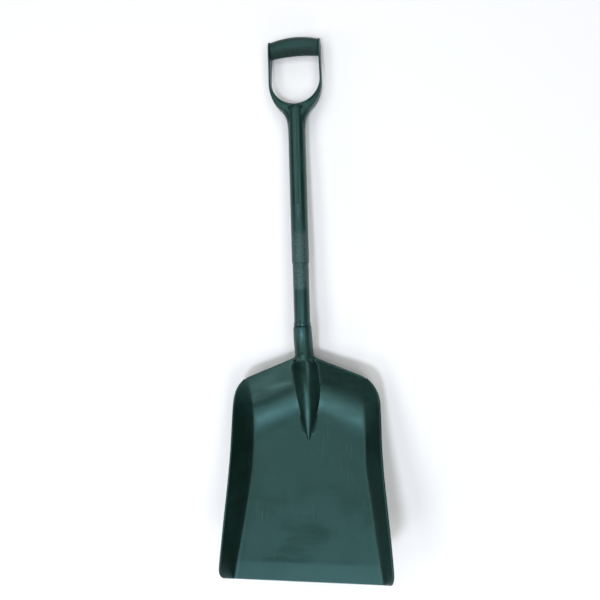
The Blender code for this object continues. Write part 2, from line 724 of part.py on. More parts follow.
def make_grip(collection, shaft, material, holes):
    """The bar between the eyes, arched away from the hand and a little thicker in the middle."""
    half_length = YOKE_INNER_HALF_WIDTH - ARM_LEAN - GAP
    rings = []
    for i in range(GRIP_STEPS + 1):
        across = 2.0 * i / GRIP_STEPS - 1.0
        arch = 1.0 - across * across
        centre = Vector((across * half_length, 0.0, GRIP_HEIGHT + GRIP_ARCH * arch))
        swell = GRIP_END_SHARE + (1.0 - GRIP_END_SHARE) * arch
        tall = Vector((0, 0, GRIP_HALF_HEIGHT * swell))
        deep = Vector((0, GRIP_HALF_BREADTH * swell, 0))
        rings.append(oval(centre, tall, deep, sides=GRIP_SIDES))
    grip = finish_mesh("grip_bar", loft(rings), collection, shaft, material)
    combine(grip, "DIFFERENCE", holes["grip_screw_left"])
    combine(grip, "DIFFERENCE", holes["grip_screw_right"])
    return grip


def world_points(parts):
    """Every point of the finished parts, in world space."""
    bpy.context.view_layer.update()
    graph = bpy.context.evaluated_depsgraph_get()
    clouds = []
    for part in parts:
        evaluated = part.evaluated_get(graph)
        mesh = evaluated.to_mesh()
        flat = np.empty(3 * len(mesh.vertices), np.float32)
        mesh.vertices.foreach_get("co", flat)
        evaluated.to_mesh_clear()
        world = np.array(evaluated.matrix_world)
        clouds.append(flat.reshape(-1, 3) @ world[:3, :3].T + world[:3, 3])
    return clouds


def lay_on_floor(root, parts):
    """Tips the shovel back until its blade and its handle are equally low, and centres it."""
    clouds = dict(zip([part.name for part in parts], world_points(parts)))
    blade = clouds["blade"]
    handle = np.concatenate([clouds["handle_yoke"], clouds["grip_bar"]])
    low_tilt, high_tilt = 0.0, MOST_TILT
    for _ in range(TILT_STEPS):
        tilt = 0.5 * (low_tilt + high_tilt)
        down = np.array([0.0, -math.sin(tilt), math.cos(tilt)])
        if (handle @ down).min() > (blade @ down).min():
            low_tilt = tilt
        else:
            high_tilt = tilt
    turn = Matrix.Rotation(-tilt, 3, "X")
    turned_points = np.concatenate(list(clouds.values())) @ np.array(turn).T
    low, high = turned_points.min(axis=0), turned_points.max(axis=0)
    root.rotation_euler = (-tilt, 0.0, 0.0)
    root.location = (0.0, -0.5 * (low[1] + high[1]), -low[2])


def main():
    clear_scene()
    parts = new_collection("grain_scoop_shovel")
    new_collection("cutters")
    root = new_empty("shovel", parts)
    shaft = new_empty("shaft_axis", parts, root)
    shaft.location = SHAFT_ORIGIN
    shaft.rotation_euler = (SHAFT_RISE - 0.5 * math.pi, 0.0, 0.0)

    holes = make_screws(parts, shaft, new_material("screw_steel", STEEL, 0.35, 1.0))
    make_blade(parts, root, shaft, new_material("blade_green", GREEN, 0.42), holes)
    make_collar(parts, shaft, new_material("collar_green", GREEN, 0.45))
    make_tube(parts, shaft, new_material("tube_green", GREEN, 0.45), holes)
    make_plug(parts, shaft, new_material("plug_green", GREEN, 0.6), holes)
    make_yoke(parts, shaft, new_material("yoke_green", GREEN, 0.5), holes)
    make_grip(parts, shaft, new_material("grip_green", GREEN_GRIP, 0.55), holes)
    lay_on_floor(root, [obj for obj in parts.objects if obj.type == "MESH"])


main()
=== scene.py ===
"""Looks for the grain scoop shovel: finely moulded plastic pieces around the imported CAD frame.

The blade, the D-handle and its grip are rebuilt as fine meshes with rounded rims and moulded
fillets, from the same dimensions as the CAD. The other CAD nodes are kept and get materials.
Lengths are in metres.
"""

import math

import bmesh
import bpy
import numpy as np
from mathutils import Matrix, Vector
from mathutils.bvhtree import BVHTree


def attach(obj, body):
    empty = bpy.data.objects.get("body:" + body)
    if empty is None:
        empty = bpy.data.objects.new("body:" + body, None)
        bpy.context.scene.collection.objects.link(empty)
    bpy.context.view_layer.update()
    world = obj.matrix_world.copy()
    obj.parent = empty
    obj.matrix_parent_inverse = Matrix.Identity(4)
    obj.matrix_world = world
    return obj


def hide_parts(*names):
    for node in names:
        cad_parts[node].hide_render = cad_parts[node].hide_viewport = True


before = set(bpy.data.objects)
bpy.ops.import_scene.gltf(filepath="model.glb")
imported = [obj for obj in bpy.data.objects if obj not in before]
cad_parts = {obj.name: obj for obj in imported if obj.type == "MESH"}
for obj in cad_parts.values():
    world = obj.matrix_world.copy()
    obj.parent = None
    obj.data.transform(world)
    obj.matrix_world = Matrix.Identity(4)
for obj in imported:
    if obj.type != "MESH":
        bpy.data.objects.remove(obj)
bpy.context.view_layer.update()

# Where the pan and the shaft lie in the row frame.
PAN_TILT = -0.3757544
PAN_ORIGIN = Vector((0.0, -0.5715359, 0.1348457))
PAN = Matrix.Translation(PAN_ORIGIN) @ Matrix.Rotation(PAN_TILT, 4, "X")
SHAFT_ORIGIN = Vector((0.0, 0.5253, 0.128))
SHAFT_RISE = math.radians(17.3)
SHAFT = PAN @ Matrix.Translation(SHAFT_ORIGIN) @ Matrix.Rotation(SHAFT_RISE - math.pi / 2, 4, "X")

# The blade, in the pan frame.
WAIST_HALF_WIDTH = 0.158
FRONT_FLARE = 0.0163
FLARE_LENGTH = 0.29
APEX_Y = 0.4633
ROOF_ANGLE = math.radians(22.2)
CORNER_RADIUS = 0.0625
CORNER_X = WAIST_HALF_WIDTH - CORNER_RADIUS
CORNER_Y = APEX_Y - CORNER_X * math.tan(ROOF_ANGLE) - CORNER_RADIUS / math.cos(ROOF_ANGLE)
FRONT_WALL_HEIGHT = 0.050
BACK_WALL_HEIGHT = 0.067
WALL_RISE_LENGTH = 0.30
FRONT_CORNER_RADIUS = 0.018
WALL_RAKE = 0.19
WALL_RAKE_LENGTH = 0.060
PAN_BACK_HALF_WIDTH = 0.1285
PAN_FRONT_FLARE = 0.0315
PAN_TAPER_LENGTH = 0.235
PAN_TAPER_POWER = 1.25
CREASE_FOOT = 0.004
CREASE_RISE = 0.024
MOST_CREASE_SHARE = 0.6
LIP_BEVEL_LENGTH = 0.036
LIP_BEVEL_DROP = 0.0018
SWEEP_START = 0.3335
SWEEP_RADIUS = 0.115
BACK_SLOPE = math.radians(54.5)

# The blade's thickness: thin at the lip, with a bead along the rim, and a rounded edge all round.
SHEET_THICKNESS = 0.0034
RIM_THICKNESS = 0.0044
RIM_COLUMN = 4.0
BEAD_COLUMNS = 0.3
BACK_BEAD_START = 0.010
BACK_BEAD_FADE = 0.008
SIDE_BEAD_FADE = 0.030
LIP_THINNING = 0.0009
LIP_THINNING_LENGTH = 0.012
LIP_THINNING_MOST_COLUMN = 3.5
EDGE_ROUNDING = 0.0013
EDGE_INSET = 1.2 * EDGE_ROUNDING
EDGE_POWER = 0.6
EDGE_STEPS = 7
WELD = 0.00003

# The ridge, its hollow and ribs, and the neck.
RIDGE_TIP_Y = 0.284
RIDGE_FULL_Y = 0.420
RIDGE_HALF_WIDTH = 0.029
RIDGE_STEEPNESS = 1.35
RIDGE_ROUNDNESS = 1.3
RIDGE_TIP_FULLNESS = 1.2
RIDGE_TIP_LENGTH = 0.120
RIDGE_TIP_POWER = 0.9
LEAST_RIDGE_SHARE = 0.2
RIDGE_WALL = 0.0045
RIM_FLANGE = 0.004
RIDGE_FADE = 0.010
GROOVE_END_Y = 0.452
GROOVE_FADE = 0.026
SPINE_RIB_START_Y = 0.322
SPINE_RIB_END_Y = 0.503
RIB_THICKNESS = 0.0034
CROSS_RIB_YS = (0.352, 0.382, 0.412)
CROSS_RIB_CLEARANCE = 0.0004
CROSS_RIB_ROOT_SHARE = 0.8
NECK_RADIUS = 0.0193
NECK_SWELL = 0.0012
NECK_FOOT_RADIUS = 0.0165
NECK_FOOT = Vector((0.0, 0.425, 0.050))
NECK_FOOT_SLOPE = math.radians(42.0)
NECK_TOP = -0.009
NECK_REACH = 0.036
NECK_OPEN_Y = 0.452
NECK_ROUND_Y = 0.486
NECK_LEAST_UNDER = 0.12
NECK_NARROWING_START = 0.6
NECK_CHAMFER = 0.0008
NECK_STEPS = 56
NECK_LOOK_AHEAD = 0.01
NECK_FILLET = 0.009
NECK_RELAX_RADIUS = 0.6 * NECK_FILLET
NECK_RELAX_ROUNDS = 12

# Along the shaft.
SPIGOT_RADIUS = 0.0123
SPIGOT_ROOT = 0.004
SPIGOT_END = 0.110
SLEEVE_START = 0.1265
SLEEVE_RADIUS = 0.0184
SLEEVE_CHAMFER = 0.0005
SLEEVE_BORE_RADIUS = 0.0153
SLEEVE_CORE_RADIUS = 0.0135
SLEEVE_CORE_END = 0.418
SLEEVE_CORE_TIP_LENGTH = 0.008
SLEEVE_CORE_TIP_SHARE = 0.4
SLEEVE_SHOULDER_ROOM = 0.001
SLEEVE_SHOULDER_LENGTH = 0.005
CUTTER_OVERRUN = 0.010
TUBE_END = 0.262
PLUG_HEAD = 0.0025

# The sleeve's round outside: fine raised ribs in two groups across its front, then a rounded top.
RIBBED_RUN = (0.148, 0.256)
RIB_GROUPS = ((0.1545, 0.1953), (0.2146, 0.2511))
RIB_PITCH = 0.0029
RIB_HEIGHT = 0.0004
RIB_STEEPNESS = 1.6
RIB_GAP = 0.3
RIB_SPREAD = math.radians(34.0)
RIB_SPREAD_FADE = math.radians(5.0)
BARREL_FLARE = 0.0003
BARREL_FLARE_START = 0.40
BARREL_FLARE_LENGTH = 0.05
BARREL_CROWN = 0.4560
BARREL_TOP = 0.4640
BARREL_CROWN_ANGLES = (20.0, 40.0, 58.0, 74.0, 85.0)
BARREL_SIDES = 96

# The web beside the sleeve, as height, half width and half depth.
WEB_SECTIONS = (
    (0.395, 0.0160, 0.0120),
    (0.4135, 0.0187, 0.0135),
    (0.4265, 0.0197, 0.0148),
    (0.4380, 0.0224, 0.0155),
    (0.4470, 0.0270, 0.0155),
    (0.4530, 0.0310, 0.0150),
)
WEB_SQUARENESS = 0.15
WEB_DEPTH = 0.0155
WEB_STEPS = 6
BOW_SIDES = 72

# The D-handle.
YOKE_OUTER_HALF_WIDTH = 0.0573
YOKE_OUTER_CENTRE = 0.514
YOKE_OUTER_DEPTH = 0.0716
YOKE_INNER_HALF_WIDTH = 0.0527
YOKE_INNER_CENTRE = 0.519
YOKE_INNER_DEPTH = 0.0515
YOKE_FILLET = 0.003
ARM_HALF_BREADTH = 0.0115
ARM_LEAN = 0.0014
ARM_SQUARENESS = 0.60
CROTCH_SQUARENESS = 0.45
CROTCH_MIDDLE_SQUARENESS = 0.40
POCKET_DEPTH = 0.25
POCKET_START, POCKET_START_FADE = 0.20, 0.14
POCKET_END, POCKET_END_FADE = 0.92, 0.12
POCKET_LEAST_BAND = 0.007
POCKET_BAND_FADE = 0.006
GRIP_HEIGHT = 0.5857
GRIP_ARCH = 0.0055
GRIP_HALF_HEIGHT = 0.0190
GRIP_HALF_BREADTH = 0.0170
GRIP_END_SHARE = 0.91
GRIP_GROOVES = (0.0045, 0.0080)
GRIP_GROOVE_SHARE = 0.012
GRIP_GROOVE_HALF_WIDTH = 0.0012
GRIP_STEPS = 120
GRIP_SIDES = 80
EYE_HALF_HEIGHT = 0.0180
EYE_HALF_BREADTH = 0.0180
EYE_TOP_ANGLE = 83.0
EYE_SHOULDER = 0.0026
EYE_SHOULDER_START = 0.82
GAP = 0.0003

# The screws in the D-handle: each lies a little below the surface, in a countersunk hole.
SCREW_HEAD_RADIUS = 0.0040
SCREW_HEAD_HEIGHT = 0.0021
SCREW_SHANK_RADIUS = 0.0020
SCREW_SINK = 0.0006
SCREW_HOLE_DEPTH = 0.0120
SLEEVE_SCREW_HEIGHT = 0.248

# The camera, in the pan frame.
CAMERA_PLACE = Vector((0.15608911, 0.22846516, 1.2235412))
CAMERA_TURN = Vector((-0.30371904, -0.14312922, 0.00743047))
LENS = 32.028
SENSOR = 36.0


# ---------------------------------------------------------------------------------------------
# Small tools
# ---------------------------------------------------------------------------------------------


def smoothstep(value):
    value = min(max(value, 0.0), 1.0)
    return value * value * (3.0 - 2.0 * value)


def bezier(points, along):
    while len(points) > 1:
        points = [a.lerp(b, along) for a, b in zip(points, points[1:])]
    return points[0]


def curve_through(points, steps):
    """Points along a smooth curve through the given ones, with this many steps to each span."""
    placed = []
    for i, (start, end) in enumerate(zip(points, points[1:])):
        before = points[max(i - 1, 0)]
        after = points[min(i + 2, len(points) - 1)]
        handles = [start, start + (end - before) / 6.0, end - (after - start) / 6.0, end]
        placed += [bezier(handles, k / steps) for k in range(steps)]
    return placed + [points[-1]]


def spaced(*runs):
    """Numbers along runs of (start, end, steps), each run without its end but the last."""
    values = []
    for start, end, steps in runs:
        values += [start + (end - start) * i / steps for i in range(steps)]
    return values + [runs[-1][1]]


def oval(centre, wide, deep, squareness=0.0, sides=64):
    """A ring round centre with the half axes wide and deep, an ellipse when squareness is 0."""
    power = 1.0 - squareness
    ring = []
    for i in range(sides):
        angle = 2.0 * math.pi * i / sides
        cosine, sine = math.cos(angle), math.sin(angle)
        across = math.copysign(abs(cosine) ** power, cosine)
        down = math.copysign(abs(sine) ** power, sine)
        ring.append(centre + across * wide + down * deep)
    return ring


def circle(height, radius, sides=64):
    return oval(Vector((0, 0, height)), Vector((radius, 0, 0)), Vector((0, radius, 0)), sides=sides)


def loft(rings):
    """A closed solid through rings of points, with a cap at each end."""
    bm = bmesh.new()
    loops = [[bm.verts.new(point) for point in ring] for ring in rings]
    for near, far in zip(loops, loops[1:]):
        for i in range(len(near)):
            j = (i + 1) % len(near)
            bm.faces.new((near[i], near[j], far[j], far[i]))
    for loop in (loops[0], loops[-1]):
        middle = bm.verts.new(sum((vert.co for vert in loop), Vector()) / len(loop))
        for i in range(len(loop)):
            bm.faces.new((loop[i], loop[(i + 1) % len(loop)], middle))
    return bm


def plate(outline, thickness):
    """A flat plate on an outline of points, thickened both ways along the outline's normal."""
    bm = bmesh.new()
    face = bm.faces.new([bm.verts.new(point) for point in outline])
    face.normal_update()
    normal = face.normal.copy()
    bmesh.ops.translate(bm, verts=bm.verts, vec=-0.5 * thickness * normal)
    made = bmesh.ops.extrude_face_region(bm, geom=[face], use_keep_orig=True)
    moved = [item for item in made["geom"] if isinstance(item, bmesh.types.BMVert)]
    bmesh.ops.translate(bm, verts=moved, vec=thickness * normal)
    return bm


def mesh_object(name, bm, place=None):
    """An object of this bmesh, with its points moved by place."""
    bmesh.ops.recalc_face_normals(bm, faces=bm.faces)
    if place:
        bm.transform(place)
    mesh = bpy.data.meshes.new(name)
    bm.to_mesh(mesh)
    bm.free()
    obj = bpy.data.objects.new(name, mesh)
    bpy.context.scene.collection.objects.link(obj)
    return obj


def combine(obj, helper, operation="UNION"):
    """Joins a helper to the object, or cuts it, and removes the helper."""
    boolean = obj.modifiers.new("combine", "BOOLEAN")
    boolean.operation = operation
    boolean.object = helper
    boolean.solver = "EXACT"
    graph = bpy.context.evaluated_depsgraph_get()
    mesh = bpy.data.meshes.new_from_object(obj.evaluated_get(graph))
    obj.modifiers.clear()
    old = obj.data
    obj.data = mesh
    bpy.data.meshes.remove(old)
    bpy.data.objects.remove(helper, do_unlink=True)


def fillet(obj, first, second, radius):
    """Rounds the joint between two joined bodies, given as search trees.

    Each point near the joint moves outwards, along a blend of the two bodies' normals, about as
    far as a smooth union of the two would. A point between opposite faces stays.
    """
    fullness, least_way, mitre_limit = 0.25, 0.3, 0.5
    for vert in obj.data.vertices:
        near_a = first.find_nearest(vert.co, radius)
        near_b = second.find_nearest(vert.co, radius)
        if near_a[0] is None or near_b[0] is None:
            continue
        own, other = (near_a, near_b) if near_a[3] < near_b[3] else (near_b, near_a)
        if other[3] >= radius:
            continue
        share = 1.0 - other[3] / radius
        way = own[1] * (1.0 - 0.5 * share) + other[1] * 0.5 * share
        if way.length < least_way:
            continue
        reach = fullness * radius * share * share / max(way.length, mitre_limit)
        vert.co += way.normalized() * reach


def near_both(obj, first, second, radius):
    """For each point, 1 at the joint between two bodies and 0 further than radius from it."""
    weights = np.zeros(len(obj.data.vertices))
    for vert in obj.data.vertices:
        near_a = first.find_nearest(vert.co, radius)
        near_b = second.find_nearest(vert.co, radius)
        if near_a[0] is not None and near_b[0] is not None:
            weights[vert.index] = smoothstep(1.0 - max(near_a[3], near_b[3]) / radius)
    return weights


def relax(obj, weights, rounds):
    """Evens out the mesh where weights are above 0."""
    mesh = obj.data
    count = len(mesh.vertices)
    points = np.empty(count * 3)
    mesh.vertices.foreach_get("co", points)
    points = points.reshape(-1, 3)
    edges = np.empty(len(mesh.edges) * 2, np.int64)
    mesh.edges.foreach_get("vertices", edges)
    edges = edges.reshape(-1, 2)
    degree = np.bincount(edges.ravel(), minlength=count)[:, None]
    for _ in range(rounds):
        total = np.zeros_like(points)
        np.add.at(total, edges[:, 0], points[edges[:, 1]])
        np.add.at(total, edges[:, 1], points[edges[:, 0]])
        points += 0.5 * weights[:, None] * (total / np.maximum(degree, 1) - points)
    mesh.vertices.foreach_set("co", points.ravel())
    mesh.update()


# ---------------------------------------------------------------------------------------------
# The blade, in the pan frame
# ---------------------------------------------------------------------------------------------


def rim_half_width(y):
    if y > CORNER_Y:
        return CORNER_X + math.sqrt(max(CORNER_RADIUS**2 - (y - CORNER_Y) ** 2, 0.0))
    return WAIST_HALF_WIDTH + FRONT_FLARE * smoothstep(1.0 - y / FLARE_LENGTH)


def roof_drop(x):
    """How far the back rim lies before its apex, at this distance from the middle."""
    across = abs(x)
    if across <= CORNER_X + CORNER_RADIUS * math.sin(ROOF_ANGLE):
        return across * math.tan(ROOF_ANGLE)
    within = min(across - CORNER_X, CORNER_RADIUS)
    return APEX_Y - CORNER_Y - math.sqrt(CORNER_RADIUS**2 - within**2)


def crease_half_width(y):
    taper = max(1.0 - y / PAN_TAPER_LENGTH, 0.0)
    return PAN_BACK_HALF_WIDTH + PAN_FRONT_FLARE * taper**PAN_TAPER_POWER


def floor_height(x, y):
    """The pan and the back that sweeps up behind it."""
    run = (y + roof_drop(x) - SWEEP_START) * math.cos(ROOF_ANGLE)
    arc = SWEEP_RADIUS * math.sin(BACK_SLOPE)
    if run <= 0.0:
        return -LIP_BEVEL_DROP * max(1.0 - y / LIP_BEVEL_LENGTH, 0.0)
    if run < arc:
        return SWEEP_RADIUS - math.sqrt(SWEEP_RADIUS**2 - run**2)
    return SWEEP_RADIUS * (1.0 - math.cos(BACK_SLOPE)) + (run - arc) * math.tan(BACK_SLOPE)


def rim_height(y):
    back_rim = floor_height(0.0, APEX_Y)
    corner_end = APEX_Y - roof_drop(PAN_BACK_HALF_WIDTH)
    side = smoothstep(y / WALL_RISE_LENGTH)
    height = FRONT_WALL_HEIGHT + (BACK_WALL_HEIGHT - FRONT_WALL_HEIGHT) * side
    height += (back_rim - height) * smoothstep((y - CORNER_Y) / (corner_end - CORNER_Y))
    if y < FRONT_CORNER_RADIUS:
        ahead = FRONT_CORNER_RADIUS - y
        height -= FRONT_CORNER_RADIUS - math.sqrt(FRONT_CORNER_RADIUS**2 - ahead**2)
    return height


def ridge_half_width(y):
    along = (y - RIDGE_TIP_Y) / (RIDGE_FULL_Y - RIDGE_TIP_Y)
    along = min(max(along, 0.0), 1.0)
    return RIDGE_HALF_WIDTH * math.sin(0.5 * math.pi * along) ** RIDGE_TIP_POWER


def ridge_rise(x, y, inset=0.0):
    """The ridge's height over the floor, or that of the same ridge made narrower by inset."""
    half = ridge_half_width(y) - inset
    if abs(x) >= half:
        return 0.0
    from_flange = APEX_Y - roof_drop(x) - RIM_FLANGE - y
    height = RIDGE_STEEPNESS * half * smoothstep(from_flange / RIDGE_FADE)
    from_tip = smoothstep((y - RIDGE_TIP_Y) / RIDGE_TIP_LENGTH)
    fullness = 2.0 + RIDGE_TIP_FULLNESS * (1.0 - from_tip)
    return height * (1.0 - (abs(x) / half) ** fullness) ** RIDGE_ROUNDNESS


def groove_rise(x, y):
    return ridge_rise(x, y, RIDGE_WALL) * smoothstep((GROOVE_END_Y - y) / GROOVE_FADE)


def sheet_point(column, row):
    """The blade's upper face without the ridge.

    A column runs from 0 at the middle, over 1 at the ridge's foot, 2 where the pan starts to turn
    up and 3 where the wall starts, to 4 at the rim, and is negative on the left. A row is a
    distance from the lip along the middle.
    """
    sweep = smoothstep((row - 0.5 * SWEEP_START) / (0.5 * SWEEP_START))
    crease_x = PAN_BACK_HALF_WIDTH
    for _ in range(6):
        crease_y = row - sweep * roof_drop(crease_x)
        crease_x = crease_half_width(crease_y)
    crease = Vector((crease_x, crease_y, floor_height(crease_x, crease_y)))
    rim = Vector((rim_half_width(crease_y), crease_y, rim_height(crease_y)))
    if crease_y < FRONT_CORNER_RADIUS:
        full = rim_height(FRONT_CORNER_RADIUS)
        rim.x = crease_x + (rim.x - crease_x) * rim.z / full
    reach = MOST_CREASE_SHARE * (rim - crease).length
    foot_x = crease_x - min(CREASE_FOOT, reach)
    side = math.copysign(1.0, column)
    across = abs(column)
    if across <= 2.0:
        ridge = ridge_half_width(row - sweep * roof_drop(RIDGE_HALF_WIDTH))
        ridge = max(ridge, LEAST_RIDGE_SHARE * RIDGE_HALF_WIDTH)
        x = ridge * min(across, 1.0) + (foot_x - ridge) * max(across - 1.0, 0.0)
        y = row - sweep * roof_drop(x)
        return Vector((side * x, y, floor_height(x, y)))
    foot_y = row - sweep * roof_drop(foot_x)
    foot = Vector((foot_x, foot_y, floor_height(foot_x, foot_y)))
    wall = crease + (rim - crease).normalized() * min(CREASE_RISE, reach)
    if across <= 3.0:
        point = bezier([foot, crease, wall], across - 2.0)
    else:
        point = wall.lerp(rim, across - 3.0)
    rake = WALL_RAKE * point.z * max(1.0 - point.y / WALL_RAKE_LENGTH, 0.0)
    return Vector((side * point.x, point.y + rake, point.z))


def sheet_thickness(column, row):
    across = abs(column)
    side_bead = smoothstep((across - RIM_COLUMN + BEAD_COLUMNS) / BEAD_COLUMNS)
    back_bead = smoothstep((row - APEX_Y + BACK_BEAD_START) / BACK_BEAD_FADE)
    bead = max(side_bead, back_bead) * smoothstep(row / SIDE_BEAD_FADE)
    thickness = SHEET_THICKNESS + (RIM_THICKNESS - SHEET_THICKNESS) * bead
    if across < LIP_THINNING_MOST_COLUMN:
        thickness -= LIP_THINNING * (1.0 - smoothstep(row / LIP_THINNING_LENGTH))
    return thickness


def sheet_lines():
    """The sheet's columns and rows."""
    half = spaced((0, 1, 18), (1, 2, 18), (2, 3, 6), (3, 4, 9))
    columns = [-column for column in reversed(half[1:])] + half
    ridge_end = APEX_Y - RIM_FLANGE - RIDGE_FADE
    rows = spaced(
        (0.0, FRONT_CORNER_RADIUS, 10),
        (FRONT_CORNER_RADIUS, LIP_BEVEL_LENGTH, 6),
        (LIP_BEVEL_LENGTH, RIDGE_TIP_Y, 46),
        (RIDGE_TIP_Y, SWEEP_START, 16),
        (SWEEP_START, ridge_end, 44),
        (ridge_end, APEX_Y - RIM_FLANGE, 7),
        (APEX_Y - RIM_FLANGE, APEX_Y, 2),
    )
    return columns, rows


def boundary(wide, long):
    """The places along the edge of a grid, once round, as (row, column)."""
    loop = [(0, i) for i in range(wide)]
    loop += [(j, wide - 1) for j in range(1, long)]
    loop += [(long - 1, i) for i in range(wide - 2, -1, -1)]
    loop += [(j, 0) for j in range(long - 2, 0, -1)]
    return loop


def unit(vectors):
    return vectors / np.maximum(np.linalg.norm(vectors, axis=-1, keepdims=True), 1e-9)


def sheet_faces(columns, rows, loop):
    """The upper and lower points as two grids, and the way out of the sheet along its edge."""
    top = np.array([[sheet_point(column, row) for column in columns] for row in rows])
    thickness = np.array([[sheet_thickness(column, row) for column in columns] for row in rows])
    normal = unit(np.cross(np.gradient(top, axis=1), np.gradient(top, axis=0)))
    bottom = top - normal * thickness[:, :, None]
    edge = np.array([top[at] for at in loop])
    tangent = np.roll(edge, -1, axis=0) - np.roll(edge, 1, axis=0)
    outward = unit(np.cross(tangent, np.array([normal[at] for at in loop])))
    for at, way in zip(loop, outward):
        top[at] -= EDGE_INSET * way
        bottom[at] -= EDGE_INSET * way
    for over, under in zip(top.reshape(-1, 3), bottom.reshape(-1, 3)):
        over[2] += ridge_rise(over[0], over[1])
        under[2] = max(under[2], -SHEET_THICKNESS) + groove_rise(under[0], under[1])
    return top, bottom, outward


def make_sheet():
    """The pan, back and walls as one bent sheet with a rounded rim and the ridge pushed up."""
    columns, rows = sheet_lines()
    loop = boundary(len(columns), len(rows))
    top, bottom, outward = sheet_faces(columns, rows, loop)
    bm = bmesh.new()
    upper = [[bm.verts.new(point) for point in line] for line in top]
    lower = [[bm.verts.new(point) for point in line] for line in bottom]
    for j in range(len(rows) - 1):
        for i in range(len(columns) - 1):
            bm.faces.new((upper[j][i], upper[j][i + 1], upper[j + 1][i + 1], upper[j + 1][i]))
            bm.faces.new((lower[j][i], lower[j + 1][i], lower[j + 1][i + 1], lower[j][i + 1]))
    rings = [[upper[j][i] for j, i in loop]]
    for k in range(1, EDGE_STEPS):
        angle = math.pi * k / EDGE_STEPS
        out = EDGE_ROUNDING * math.sin(angle) ** EDGE_POWER
        level = 0.5 + 0.5 * math.copysign(abs(math.cos(angle)) ** EDGE_POWER, math.cos(angle))
        ring = []
        for at, way in zip(loop, outward):
            ring.append(bm.verts.new(level * top[at] + (1.0 - level) * bottom[at] + out * way))
        rings.append(ring)
    rings.append([lower[j][i] for j, i in loop])
    for near, far in zip(rings, rings[1:]):
        for i in range(len(loop)):
            k = (i + 1) % len(loop)
            bm.faces.new((near[k], near[i], far[i], far[k]))
    bmesh.ops.remove_doubles(bm, verts=bm.verts, dist=WELD)
    return bm


def make_neck():
    """The swan neck, round at the shaft and open from below where it runs into the ridge."""
    shaft_way = Vector((0.0, math.cos(SHAFT_RISE), math.sin(SHAFT_RISE)))
    foot_way = Vector((0.0, math.cos(NECK_FOOT_SLOPE), math.sin(NECK_FOOT_SLOPE)))
    top = SHAFT_ORIGIN + NECK_TOP * shaft_way
    path = [top, top - NECK_REACH * shaft_way, NECK_FOOT + NECK_REACH * foot_way, NECK_FOOT]
    rings = []
    for i in range(NECK_STEPS + 1):
        along = i / NECK_STEPS
        ahead = bezier(path, min(along + NECK_LOOK_AHEAD, 1.0))
        ahead -= bezier(path, max(along - NECK_LOOK_AHEAD, 0.0))
        up = Vector((0.0, ahead.z, -ahead.y)).normalized()
        centre = bezier(path, along)
        radius = NECK_RADIUS + NECK_SWELL * math.sin(math.pi * along)
        narrowing = smoothstep((along - NECK_NARROWING_START) / (1.0 - NECK_NARROWING_START))
        radius += (NECK_FOOT_RADIUS - NECK_RADIUS) * narrowing
        under = smoothstep((centre.y - NECK_OPEN_Y) / (NECK_ROUND_Y - NECK_OPEN_Y))
        if i == 0:
            mouth = radius - NECK_CHAMFER
            rings.append(oval(centre, Vector((mouth, 0, 0)), mouth * up))
            centre = centre - NECK_CHAMFER * shaft_way
        ring = oval(centre, Vector((radius, 0, 0)), radius * up)
        for point in ring:
            below = min((point - centre).dot(up), 0.0)
            point -= (1.0 - max(under, NECK_LEAST_UNDER)) * below * up
        rings.append(ring)
    return loft(rings)


def make_spine_rib():
    """The rib along the middle of the hollow ridge, and on to the underside of the neck."""
    lower, upper = [], []
    for y in spaced((SPINE_RIB_START_Y, APEX_Y, 30)):
        floor = floor_height(0.0, y)
        lower.append(Vector((0.0, y, floor - SHEET_THICKNESS)))
        upper.append(Vector((0.0, y, floor + ridge_rise(0.0, y) - 0.5 * RIDGE_WALL)))
    axis_z = SHAFT_ORIGIN.z + (SPINE_RIB_END_Y - SHAFT_ORIGIN.y) * math.tan(SHAFT_RISE)
    lower.append(Vector((0.0, SPINE_RIB_END_Y, axis_z - NECK_RADIUS)))
    upper.append(Vector((0.0, SPINE_RIB_END_Y, axis_z)))
    return plate(lower + upper[::-1], RIB_THICKNESS)


def make_cross_rib(y):
    """A rib across the hollow ridge, cut to the ridge's shape."""
    half = ridge_half_width(y) - 0.5 * RIDGE_WALL
    arch, base = [], []
    for x in spaced((-half, half, 24)):
        floor = floor_height(x, y)
        rise = ridge_rise(x, y, 0.5 * RIDGE_WALL) - CROSS_RIB_CLEARANCE
        arch.append(Vector((x, y, floor + rise)))
        base.append(Vector((x, y, floor - CROSS_RIB_ROOT_SHARE * SHEET_THICKNESS)))
    return plate(arch + base[::-1], RIB_THICKNESS)


def make_blade():
    """The blade with its neck, ribs and spigot, in the row frame."""
    sheet = make_sheet()
    neck = make_neck()
    sheet_tree = BVHTree.FromBMesh(sheet)
    bmesh.ops.recalc_face_normals(neck, faces=neck.faces)
    neck_tree = BVHTree.FromBMesh(neck)
    blade = mesh_object("blade_moulding", sheet)
    combine(blade, mesh_object("neck", neck))
    combine(blade, mesh_object("spine", make_spine_rib()))
    for y in CROSS_RIB_YS:
        combine(blade, mesh_object("rib", make_cross_rib(y)))
    spigot = loft([circle(NECK_TOP - SPIGOT_ROOT, SPIGOT_RADIUS), circle(SPIGOT_END, SPIGOT_RADIUS)])
    spigot.transform(PAN.inverted() @ SHAFT)
    combine(blade, mesh_object("spigot", spigot))
    fillet(blade, sheet_tree, neck_tree, NECK_FILLET)
    relax(blade, near_both(blade, sheet_tree, neck_tree, NECK_RELAX_RADIUS), NECK_RELAX_ROUNDS)
    blade.data.transform(PAN)
    return blade


# ---------------------------------------------------------------------------------------------
# The D-handle, in the shaft frame
# ---------------------------------------------------------------------------------------------


def rib_share(height):
    """1 on the crest of a fine rib, and 0 between the ribs and outside their groups."""
    for low, high in RIB_GROUPS:
        if low <= height <= high:
            wave = math.cos(2.0 * math.pi * (height - low) / RIB_PITCH)
            return smoothstep(RIB_STEEPNESS * wave - RIB_GAP)
    return 0.0


